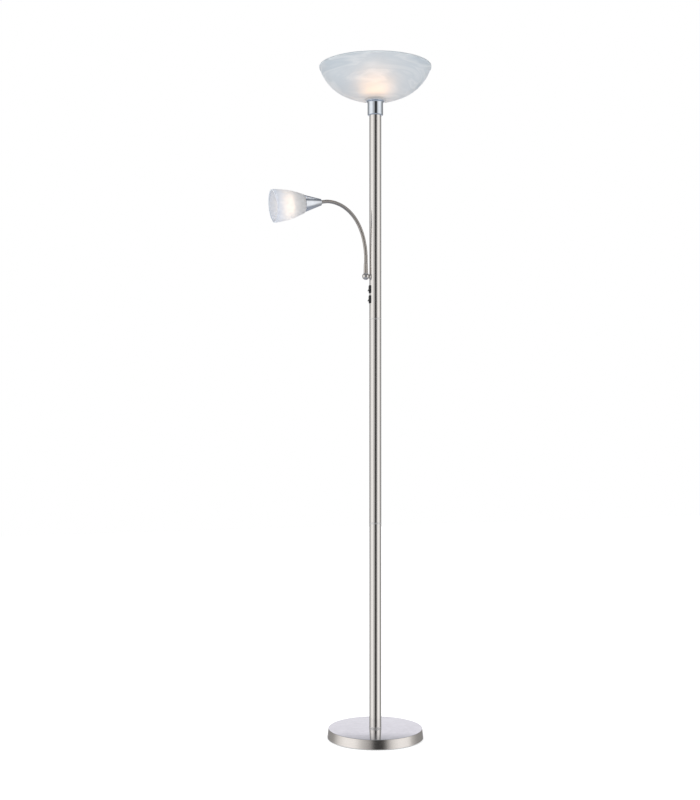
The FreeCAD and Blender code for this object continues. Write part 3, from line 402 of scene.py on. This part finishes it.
# ---- Pole ----
# Three steel tubes, nickel plated and brushed lengthwise, screwed together over nipples
# with a satin ring at the foot and at each joint. The nipples, nuts and washers are zinced.
pole_brushed = metal("pole_brushed", (0.88, 0.845, 0.81), 0.13, (1400, 1400, 5), 0.00002)
ring_satin = metal("ring_satin", (0.95, 0.93, 0.91), 0.36, (90, 90, 90), 0.00001)
for name in ("lower_tube", "middle_tube", "upper_tube"):
    finish_node(name, pole_brushed)
ring_edge = 0.0006
for name in ("foot_ring", "lower_joint_ring", "upper_joint_ring"):
    low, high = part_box(name)
    bm = section(
        (nipple_hole, low.z),
        (high.x - ring_edge, low.z),
        (high.x - ring_edge, low.z + ring_edge, 90, 4),
        (high.x, high.z - ring_edge),
        (high.x - ring_edge, high.z - ring_edge, 90, 4),
        (nipple_hole, high.z),
        (nipple_hole, low.z),
    )
    piece(
        f"{name}_dressed",
        spin_round(bm),
        [ring_satin],
        body="stand",
        stands_for=[name],
    )
zinc = metal("zinc", (0.62, 0.63, 0.62), 0.35, (300, 300, 300), 0.00003)
for name in (
    "base_washer",
    "base_nut",
    "foot_nipple",
    "lower_joint_nipple",
    "upper_joint_nipple",
    "tube_inserts",
    "cup_nipple",
    "cup_nut",
    "stub_nut",
    "stub_washer",
    "reading_nipple",
    "arm_grub_screw",
):
    finish_node(name, zinc)

# ---- Holder cup ----
# A cup of spun steel, chromed: a rounded foot, a straight wall and a lip that flares out
# under the bowl.
cup_chrome = metal("cup_chrome", (0.80, 0.85, 0.91), 0.025, (70, 70, 70), 0.00001)
low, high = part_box("holder_cup")
cup_low, cup_high = low.z, high.z
cup_side, cup_lip, foot_round, flare = 0.0208, 0.025, 0.0035, 0.006
cup_inside, cup_floor, floor_edge = 0.019, 0.0015, 0.002
lip_land, lip_edge, lip_wall = 0.0026, 0.0006, 0.0014
flare_sweep = math.acos((cup_side + flare - cup_lip) / flare)
flare_low = cup_high - lip_land - flare * math.sin(flare_sweep)
bm = section(
    (nipple_hole, cup_low),
    (cup_side - foot_round, cup_low),
    (cup_side - foot_round, cup_low + foot_round, 90, 8),
    (cup_side, flare_low),
    (cup_side + flare, flare_low, -math.degrees(flare_sweep), 12),
    (cup_lip, cup_high - lip_edge),
    (cup_lip - lip_edge, cup_high - lip_edge, 90, 4),
    (cup_lip - lip_wall, cup_high),
    (cup_inside, flare_low),
    (cup_inside, cup_low + floor_edge),
    (nipple_hole, cup_low + cup_floor),
    (nipple_hole, cup_low),
)
spin_round(bm, 160)
piece(
    "holder_cup_dressed",
    bm,
    [cup_chrome],
    body="stand",
    stands_for=["holder_cup"],
)

# ---- Glass bowl ----
# Blown glass, 4 mm thick, frosted, with cloudy alabaster swirls. Its wide floor and its
# tighter side are two tangent arcs. The bulb's warm light shows through round the cup.
low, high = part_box("glass_bowl")
rim_clearance = 0.0001
bowl_low, bowl_high = low.z, high.z - rim_clearance
bowl_hole, seat, rim, rim_edge = 0.0205, 0.026, 0.1495, 0.0006
floor_arc, side_arc, wall = 0.2035, 0.1177, 0.004
floor_centre = bowl_low + math.sqrt(floor_arc**2 - seat**2)
reach = math.hypot(rim, bowl_high - floor_centre)
# The side's centre lies gap from the floor's centre and side_arc from the rim.
gap = floor_arc - side_arc
along = (gap**2 - side_arc**2 + reach**2) / (2 * reach)
aside = math.sqrt(gap**2 - along**2)
side_x = (along * rim + aside * (bowl_high - floor_centre)) / reach
side_z = floor_centre + (along * (bowl_high - floor_centre) - aside * rim) / reach
knee = math.atan2(side_x, floor_centre - side_z)
floor_sweep = math.degrees(knee - math.asin(seat / floor_arc))
side_sweep = math.degrees(math.atan2(bowl_high - side_z, rim - side_x) + math.pi / 2 - knee)


def frosted(add, tone, clear, clear_tone, inner=False):
    """Frosted glass that scatters the light behind it; clear is the share it lets through,
    and the inner face of a wall lets it through straight."""
    skin = add(
        "ShaderNodeBsdfPrincipled",
        Base_Color=tone,
        Roughness=0.4,
        Coat_Weight=0.15,
        Coat_Roughness=0.15,
    )
    inside = add("ShaderNodeBsdfTranslucent", Color=tone)
    body = add("ShaderNodeMixShader", Fac=0.35, i1=skin.outputs[0], i2=inside.outputs[0])
    if inner:
        through = add("ShaderNodeBsdfTransparent", Color=(*clear_tone, 1))
    else:
        through = add("ShaderNodeBsdfRefraction", Color=(*clear_tone, 1), Roughness=0.95, IOR=1.5)
    return add("ShaderNodeMixShader", Fac=clear, i1=body.outputs[0], i2=through.outputs[0])


def alabaster(name, inner):
    """Bluish white glass with cloudy wisps that sweep across it."""
    made = bpy.data.materials.new(name)
    add = node_tree(made)
    where = add("ShaderNodeTexCoord").outputs["Object"]
    sweep = add("ShaderNodeMapping", Vector=where, Rotation=(0.3, 0.42, 0.2), Scale=(5, 5, 24))
    clouds = add(
        "ShaderNodeTexNoise",
        Vector=sweep.outputs[0],
        Scale=1.0,
        Detail=4.0,
        Roughness=0.55,
        Distortion=1.1,
    )
    wisps = ramp(
        add, clouds.outputs["Fac"], [(0.38, 0.0), (0.47, 1.0), (0.53, 0.25), (0.66, 0.85)]
    )
    tone = add(
        "ShaderNodeMix",
        data_type="RGBA",
        i0=wisps,
        i6=(0.565, 0.625, 0.675, 1),
        i7=(0.785, 0.81, 0.83, 1),
    )
    shell = frosted(add, tone.outputs[2], 0.5, (0.83, 0.87, 0.905), inner)
    add("ShaderNodeOutputMaterial", Surface=shell.outputs[0])
    return made


bm = section(
    (bowl_hole, bowl_low),
    (seat, bowl_low),
    (0, floor_centre, floor_sweep, 24),
    (side_x, side_z, side_sweep, 24),
    (rim - rim_edge, bowl_high),
)
spin_round(bm, 192)
bowl = piece(
    "glass_bowl_dressed",
    bm,
    [
        alabaster("bowl_alabaster", False),
        alabaster("bowl_alabaster_inside", True),
        moulded("ground_rim", (0.80, 0.85, 0.88), 0.5, 1500.0),
    ],
    body="stand",
    stands_for=["glass_bowl"],
)
thickness = bowl.modifiers.new("wall", "SOLIDIFY")
thickness.thickness = wall
thickness.offset = -1
thickness.material_offset = 1
thickness.material_offset_rim = 2

# ---- Bulb of the bowl, with its lampholder ----
# An opal globe bulb in a black thermoplastic screw lampholder with brass shells. The bowl
# is clamped between the cup's gasket and a threaded ring.


def opal(name, colour, strength, foot, tip, dim_share):
    """Opal glass of a lit bulb: its light grows from dim_share at the foot to the tip."""
    made = bpy.data.materials.new(name)
    add = node_tree(made)
    where = add("ShaderNodeTexCoord").outputs["Object"]
    way = tip - foot
    from_foot = add("ShaderNodeVectorMath", operation="SUBTRACT", i0=where, i1=foot)
    along = add("ShaderNodeVectorMath", operation="DOT_PRODUCT", i0=from_foot.outputs[0], i1=way)
    cloud = add("ShaderNodeTexNoise", Vector=where, Scale=30.0, Detail=2.0)
    tone = ramp(add, cloud.outputs["Fac"], [(0.2, tuple(c * 0.94 for c in colour)), (0.8, colour)])
    glow = add(
        "ShaderNodeMapRange",
        interpolation_type="SMOOTHSTEP",
        Value=along.outputs["Value"],
        i2=way.length_squared,
        i3=strength * dim_share,
        i4=strength,
    )
    shader = add(
        "ShaderNodeBsdfPrincipled",
        Base_Color=(0.22, 0.21, 0.20, 1),
        Roughness=0.25,
        Emission_Color=tone,
        Emission_Strength=glow.outputs[0],
    )
    add("ShaderNodeOutputMaterial", Surface=shader.outputs[0])
    return made


def bulb(name, globe, neck, place, body, finish):
    """A globe drawn into a neck that sits in its screw cap."""
    glass = frame["nodes"][name].data.vertices
    levels = [(place.inverted() @ vert.co).z for vert in glass]
    foot, top = min(levels), max(levels)
    radius, straight = globe / 2, 0.014
    drop = radius * math.sin(math.radians(45))
    bm = section(
        (0, foot),
        (neck / 2, foot),
        (neck / 2, foot + straight),
        (drop, top - radius - drop),
        (0, top - radius, 135, 36),
    )
    spin_round(bm, 64)
    piece(f"{name}_dressed", bm, [finish], place, body, [name])


def glow_light(name, place, radius, power, colour, body):
    """The light of a lit bulb, a little larger than its globe."""
    lamp = bpy.data.lights.new(name, "POINT")
    lamp.energy = power
    lamp.color = colour
    lamp.shadow_soft_size = radius
    lamp.use_soft_falloff = False
    holder = bpy.data.objects.new(name, lamp)
    scene.collection.objects.link(holder)
    holder.location = place
    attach(holder, body)


bulb_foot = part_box("bowl_bulb")[0].z
bulb_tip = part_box("bowl_bulb")[1].z
warm_opal = opal(
    "warm_opal", (1.0, 0.90, 0.76), 0.64, Vector((0, 0, bulb_foot)), Vector((0, 0, bulb_tip)), 0.8
)
bulb("bowl_bulb", globe=0.06, neck=0.025, place=Matrix(), body="stand", finish=warm_opal)
glow_light(
    "bowl_light",
    place=Vector((0, 0, bulb_tip - 0.024)),
    radius=0.037,
    power=0.15,
    colour=(1.0, 0.50, 0.20),
    body="stand",
)
brass = metal("brass", (0.75, 0.60, 0.32), 0.25, (200, 200, 200), 0.00003)
for name in (
    "bowl_holder_shell",
    "reading_holder_shell",
    "bowl_bulb_cap",
    "reading_bulb_cap",
    "upper_switch_terminals",
    "lower_switch_terminals",
):
    finish_node(name, brass)
holder_plastic = moulded("holder_plastic", (0.03, 0.03, 0.03), 0.45)
for name in ("bowl_lampholder", "reading_lampholder", "bowl_ring", "reading_ring"):
    finish_node(name, holder_plastic)
finish_node("bowl_gasket", moulded("clear_silicone", (0.7, 0.7, 0.7), 0.4))

# ---- Rocker switches ----
# Two black rocker switches one above the other in the pole, each in a bezel curved to it.
switch_plastic = moulded("switch_plastic", (0.012, 0.012, 0.013), 0.28, 2500.0, 0.00001)
for name in ("upper_switch_housing", "lower_switch_housing", "upper_rocker", "lower_rocker"):
    finish_node(name, switch_plastic)

# ---- Swivel of the reading arm ----
# A polished ball on a stub that is screwed into the pole; a tapered sleeve on the ball
# grips the foot of the bendable hose.
swivel_polished = metal("swivel_polished", (0.80, 0.765, 0.73), 0.06, (90, 90, 90), 0.00001)
ball_centre = Vector((-0.0268, 0, 1.23))
ball_radius = 0.0097
bm = bmesh.new()
bmesh.ops.create_uvsphere(bm, u_segments=64, v_segments=40, radius=ball_radius)
bmesh.ops.translate(bm, vec=ball_centre, verts=bm.verts)
low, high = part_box("arm_ball")
bmesh.ops.bisect_plane(
    bm,
    geom=bm.verts[:] + bm.edges[:] + bm.faces[:],
    plane_co=(0, 0, high.z),
    plane_no=(0, 0, 1),
    clear_outer=True,
)
bmesh.ops.holes_fill(bm, edges=[edge for edge in bm.edges if edge.is_boundary])
bmesh.ops.recalc_face_normals(bm, faces=bm.faces)
piece(
    "arm_ball_dressed",
    bm,
    [swivel_polished],
    body="arm",
    stands_for=["arm_ball"],
)
finish_node("arm_stub", swivel_polished)
sleeve_satin = metal("sleeve_satin", (0.60, 0.56, 0.52), 0.2, (90, 90, 1200), 0.00001)
sleeve_bore, sleeve_foot, sleeve_wide, sleeve_top, sleeve_tip = 0.0040, 0.0055, 0.0058, 0.0053, 0.0048
foot_bevel, tip_bevel = 0.0012, 0.0006
sleeve_low = ball_centre.z + math.sqrt(ball_radius**2 - sleeve_foot**2)
sleeve_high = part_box("arm_ferrule")[1].z
bm = section(
    (sleeve_bore, sleeve_low),
    (sleeve_foot, sleeve_low),
    (sleeve_wide, sleeve_low + foot_bevel),
    (sleeve_top, sleeve_high - tip_bevel),
    (sleeve_tip, sleeve_high),
    (sleeve_bore, sleeve_high),
    (sleeve_bore, sleeve_low),
)
spin_round(bm, 48)
piece(
    "arm_ferrule_dressed",
    bm,
    [sleeve_satin],
    place=Matrix.Translation((ball_centre.x, 0, 0)),
    body="arm",
    stands_for=["arm_ferrule"],
)

# ---- Bendable hose ----
# A steel hose wound from interlocked strip and nickel plated, finely ribbed all along. Each
# length ends in a ball in the next one's socket, and all of them follow one smooth curve.
hose_metal = metal("hose_metal", (0.56, 0.52, 0.48), 0.26, (500, 500, 500), 0.00002)
hose_radius, hose_bore, rib_depth, rib_pitch = 0.0047, 0.0023, 0.00014, 0.0015
hose_ball, hose_socket, joint_gap = 0.0043, 0.00442, 0.00045
hinges = {joint["child"]: Vector(joint["pos_m"]) for joint in frame["joints"] if "pos_m" in joint}
links = ["arm"] + [f"hose_{number}" for number in range(2, 8)] + ["head"]
link_length, hose_foot, last_lean, pull = 0.03105, 1.2557, math.radians(97.4), 1.01
last_way = Vector((-math.sin(last_lean), 0, math.cos(last_lean)))
way_points = [Vector((ball_centre.x, 0, hose_foot))] + [hinges[link] for link in links[1:]]
way_points.append(way_points[-1] + last_way * link_length)
chords = [(high - low).normalized() for low, high in zip(way_points, way_points[1:])]
tangents = [chords[0]]
tangents += [(low + high).normalized() for low, high in zip(chords, chords[1:])] + [chords[-1]]


def round_cut(radius, across):
    """How far along the axis a sphere of that radius is as wide as across."""
    return math.sqrt(radius**2 - across**2)


def hose_piece(number):
    """A ribbed length of the hose along its part of the curve, with its socket and its ball."""
    start, end = way_points[number - 1 : number + 1]
    first, last = number == 1, number == len(links)
    low = 0 if first else joint_gap
    high = link_length - (0 if last else joint_gap)
    ribs = round((high - low) / rib_pitch)
    moves = [(hose_radius - rib_depth, low)]
    for rib in range(ribs):
        for share, deep in ((0.2, 1), (0.45, 0), (0.8, 0), (1.0, 1)):
            moves.append((hose_radius - rib_depth * deep, low + (high - low) * (rib + share) / ribs))
    if not last:
        ball_foot = math.degrees(math.asin(joint_gap / hose_ball))
        ball_sweep = math.degrees(math.acos(hose_bore / hose_ball)) + ball_foot
        moves.append((round_cut(hose_ball, joint_gap), high))
        moves.append((0, link_length, ball_sweep, 12))
    else:
        moves.append((hose_bore, high))
    if first:
        bm = section((hose_bore, 0), *moves, (hose_bore, 0))
    else:
        socket_sweep = math.degrees(
            math.acos(hose_bore / hose_socket) - math.asin(joint_gap / hose_socket)
        )
        moves.append((hose_bore, round_cut(hose_socket, hose_bore)))
        moves.append((0, 0, -socket_sweep, 8))
        moves.append((hose_radius - rib_depth, low))
        bm = section(*moves)
    spin_round(bm, 40)
    side = Vector((0, 1, 0))
    swing = link_length * pull
    for vert in bm.verts:
        share = vert.co.z / link_length
        t = min(max(share, 0), 1)
        way = tangents[number - 1], tangents[number]
        centre = start * ((1 + 2 * t) * (1 - t) ** 2) + end * (t * t * (3 - 2 * t))
        centre += way[0] * (swing * t * (1 - t) ** 2) - way[1] * (swing * t * t * (1 - t))
        ahead = (start - end) * (6 * t * (t - 1)) + way[0] * (swing * (1 - t) * (1 - 3 * t))
        ahead = (ahead + way[1] * (swing * t * (3 * t - 2))).normalized()
        centre += ahead * ((share - t) * link_length)
        vert.co = centre + side.cross(ahead) * vert.co.x + side * vert.co.y
    bmesh.ops.recalc_face_normals(bm, faces=bm.faces)
    return piece(
        f"hose_length_{number}",
        bm,
        [hose_metal],
        body=links[number - 1],
        stands_for=[f"hose_link_{number}"],
    )


for number in range(1, len(links) + 1):
    hose_piece(number)

# ---- Reading head ----
# A chromed cone on the end of the hose, and a frosted glass shade clamped to it by the
# lampholder's ring. A small globe bulb sits inside.
head_chrome = metal("head_chrome", (0.86, 0.89, 0.94), 0.06, (70, 70, 70), 0.00001)
head_turn = Matrix.Translation(way_points[-1]) @ Matrix.Rotation(-last_lean, 4, "Y")
cone_tip, cone_mouth, cone_length, cone_grip = 0.00875, 0.0235, 0.048, 0.008
cone_wall, cone_floor, tip_round, rim_roll = 0.001, 0.012, 0.001, 0.0018
taper = (cone_mouth - cone_tip) / cone_length
bm = section(
    (nipple_hole, 0),
    (cone_tip - tip_round, 0),
    (cone_tip - tip_round + 0.0002, tip_round, 70, 5),
    (cone_mouth - taper * rim_roll, cone_length - rim_roll),
    (cone_mouth - 0.0011, cone_length - 0.0014),
    (cone_mouth - 0.0009, cone_length - 0.0010),
    (cone_mouth, cone_length - 0.0007),
    (cone_mouth, cone_length),
    (cone_mouth - cone_wall, cone_length),
    (cone_tip + taper * cone_floor - cone_wall, cone_floor),
    (hose_bore, cone_floor),
    (hose_bore, cone_grip),
    (nipple_hole, cone_grip),
    (nipple_hole, 0),
)
spin_round(bm)
piece(
    "reading_cone_dressed",
    bm,
    [head_chrome],
    place=head_turn @ Matrix.Translation((0, 0, -cone_grip)),
    body="head",
    stands_for=["reading_cone"],
)
shade_seat, curve, shade_wall, shade_hole, shade_rear = 0.04, 0.22, 0.003, 0.0137, 0.0247
# The span along the head, from the shade's seat, over which the outer glass is painted darker towards
# the mouth: painted shade.
mouth_shade_from, mouth_shade_to = 0.056, 0.082
shade_at = head_turn @ Matrix.Translation((0, 0, shade_seat))
knee_point, mouth_point = Vector((0.0332, 0.023)), Vector((0.0432, 0.0838))
chord = mouth_point - knee_point
rise = math.sqrt(curve**2 - chord.length_squared / 4)
arc_centre = (knee_point + mouth_point) / 2 + Vector((-chord.y, chord.x)).normalized() * rise
arc_sweep = math.degrees(2 * math.asin(chord.length / 2 / curve))
shade_glass = bpy.data.materials.new("shade_frosted")
add = node_tree(shade_glass)
where = add("ShaderNodeTexCoord").outputs["Object"]
head_axis = (head_turn.to_3x3() @ Vector((0, 0, 1))).normalized()
from_foot = add("ShaderNodeVectorMath", operation="SUBTRACT", i0=where, i1=shade_at.translation)
along = add(
    "ShaderNodeVectorMath", operation="DOT_PRODUCT", i0=from_foot.outputs[0], i1=head_axis
)
# Painted shade: the outer glass turns from its own white to a darker blue-grey at the mouth, standing
# in for the shadowed inside seen through the opening.
painted_mouth_shade = add("ShaderNodeMapRange", Value=along.outputs["Value"], i1=mouth_shade_from, i2=mouth_shade_to)
speckle = add("ShaderNodeTexNoise", Vector=where, Scale=45.0, Detail=2.0)
body_tone = ramp(
    add, speckle.outputs["Fac"], [(0.3, (0.86, 0.85, 0.845)), (0.7, (0.90, 0.895, 0.89))]
)
tone = add(
    "ShaderNodeMix",
    data_type="RGBA",
    i0=painted_mouth_shade.outputs[0],
    i6=body_tone,
    i7=(0.70, 0.75, 0.84, 1),
)
shell = frosted(add, tone.outputs[2], 0.36, (0.95, 0.96, 0.98))
add("ShaderNodeOutputMaterial", Surface=shell.outputs[0])
# The inner face of the shade is painted a darker blue-grey than its outside: painted shade for the
# shadowed inner wall.
lining_painted_shade = bpy.data.materials.new("lining_painted_shade")
add = node_tree(lining_painted_shade)
speckle = add(
    "ShaderNodeTexNoise", Vector=add("ShaderNodeTexCoord").outputs["Object"], Scale=60.0, Detail=3.0
)
lining_shade_tone = ramp(
    add, speckle.outputs["Fac"], [(0.3, (0.64, 0.69, 0.76)), (0.7, (0.69, 0.74, 0.81))]
)
lining = frosted(add, lining_shade_tone, 0.42, (0.95, 0.96, 0.98), True)
add("ShaderNodeOutputMaterial", Surface=lining.outputs[0])
polished_rim = moulded("polished_rim", (0.78, 0.82, 0.88), 0.3, 1200.0)
bm = section(
    (shade_hole, 0),
    (shade_rear, 0),
    (knee_point.x, knee_point.y),
    (arc_centre.x, arc_centre.y, arc_sweep, 16),
)
spin_round(bm, 128)
shade = piece(
    "reading_shade_dressed",
    bm,
    [shade_glass, lining_painted_shade, polished_rim],
    place=shade_at,
    body="head",
    stands_for=["reading_shade"],
)
thickness = shade.modifiers.new("wall", "SOLIDIFY")
thickness.thickness = shade_wall
thickness.offset = -1
thickness.material_offset = 1
thickness.material_offset_rim = 2
pale_opal = opal(
    "pale_opal",
    (1.0, 0.92, 0.80),
    0.75,
    head_turn @ Vector((0, 0, 0.062)),
    head_turn @ Vector((0, 0, 0.096)),
    0.4,
)
bulb("reading_bulb", globe=0.045, neck=0.013, place=head_turn, body="head", finish=pale_opal)
reading_tip = max(
    (head_turn.inverted() @ vert.co).z for vert in frame["nodes"]["reading_bulb"].data.vertices
)
glow_light(
    "reading_light",
    place=head_turn @ Vector((0, 0, reading_tip - 0.0190)),
    radius=0.0232,
    power=0.035,
    colour=(1.0, 0.72, 0.48),
    body="head",
)
